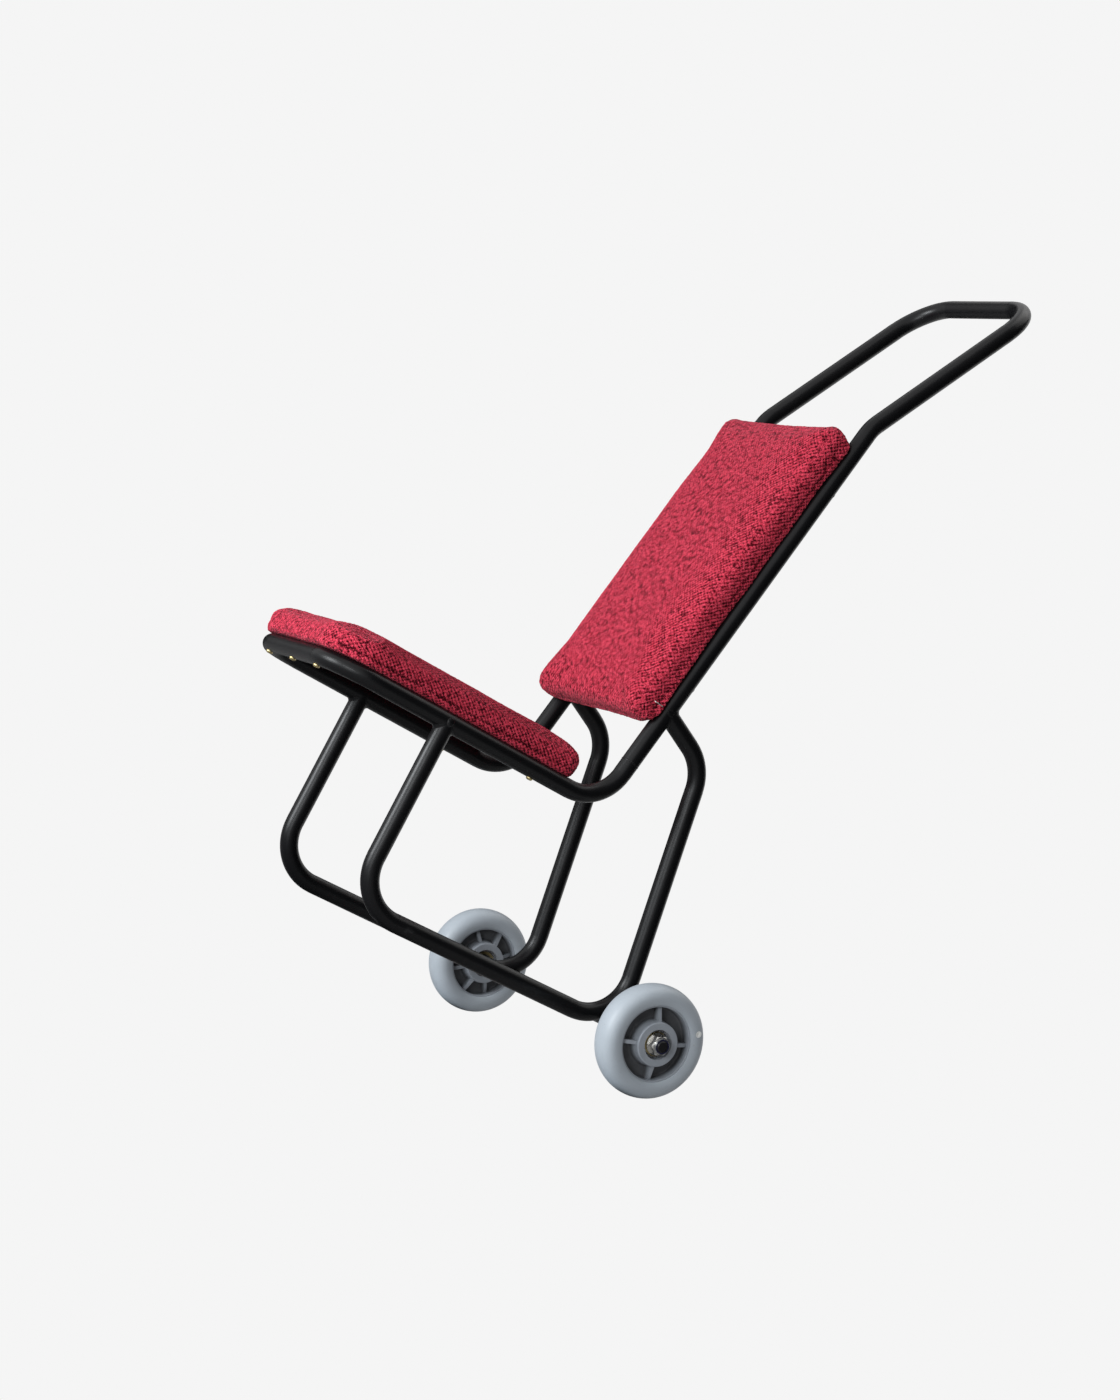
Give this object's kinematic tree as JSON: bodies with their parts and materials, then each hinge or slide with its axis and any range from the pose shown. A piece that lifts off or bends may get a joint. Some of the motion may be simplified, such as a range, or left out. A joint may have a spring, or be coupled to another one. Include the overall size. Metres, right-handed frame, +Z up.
{
  "type": "stacking chair trolley",
  "caption": "Tubular steel hand trolley with a padded seat and back that takes a stack of chairs, tips back on its wheels and rolls them away.",
  "frame": {"origin": "on the floor, below the middle of the trolley's length and width", "axes": "+X to the pusher's left, -Y to the front where the seat is, +Z up"},
  "size_m": [0.596, 0.7146, 1.2545],
  "materials": {
    "black_powder_coat": "satin black powder coat",
    "black_axle": "black painted steel",
    "red_fabric": "red nubbly upholstery weave",
    "foam": "upholstery foam",
    "black_board": "black stained plywood",
    "grey_tyre": "pale grey non-marking rubber",
    "grey_hub": "grey moulded plastic",
    "bright_zinc": "bright zinc plate",
    "yellow_zinc": "yellow passivated zinc",
    "bearing_steel": "ground bearing steel",
    "blue_nylon": "dark blue nylon",
    "white_plug": "white plastic"
  },
  "bodies": {
    "frame": {"handle_bow": "black_powder_coat", "seat_bow": "black_powder_coat", "left_leg_loop": "black_powder_coat", "right_leg_loop": "black_powder_coat", "axle": "black_axle", "left_axle_spacer": "black_axle", "right_axle_spacer": "black_axle", "seat_board": "black_board", "seat_foam": "foam", "seat_cover": "red_fabric", "seat_screws": "yellow_zinc", "back_board": "black_board", "back_foam": "foam", "back_cover": "red_fabric", "back_screws": "black_axle", "left_bearing_inner_rings": "bearing_steel", "left_hub_sleeve": "bearing_steel", "left_axle_washer": "bright_zinc", "left_axle_nut": "bright_zinc", "left_lock_ring": "blue_nylon", "right_bearing_inner_rings": "bearing_steel", "right_hub_sleeve": "bearing_steel", "right_axle_washer": "bright_zinc", "right_axle_nut": "bright_zinc", "right_lock_ring": "blue_nylon"},
    "left_wheel": {"left_tyre": "grey_tyre", "left_hub": "grey_hub", "left_tyre_plug": "white_plug", "left_bearing_outer_rings": "bearing_steel", "left_bearing_balls": "bearing_steel", "left_bearing_shields": "yellow_zinc"},
    "right_wheel": {"right_tyre": "grey_tyre", "right_hub": "grey_hub", "right_tyre_plug": "white_plug", "right_bearing_outer_rings": "bearing_steel", "right_bearing_balls": "bearing_steel", "right_bearing_shields": "yellow_zinc"}
  },
  "joints": [
    {"name": "left_wheel_spin", "type": "hinge", "parent": "frame", "child": "left_wheel", "pos_m": [0.2605, 0.28114, 0.0762], "axis": [1, 0, 0], "continuous": true},
    {"name": "right_wheel_spin", "type": "hinge", "parent": "frame", "child": "right_wheel", "pos_m": [-0.2605, 0.28114, 0.0762], "axis": [1, 0, 0], "continuous": true}
  ]
}
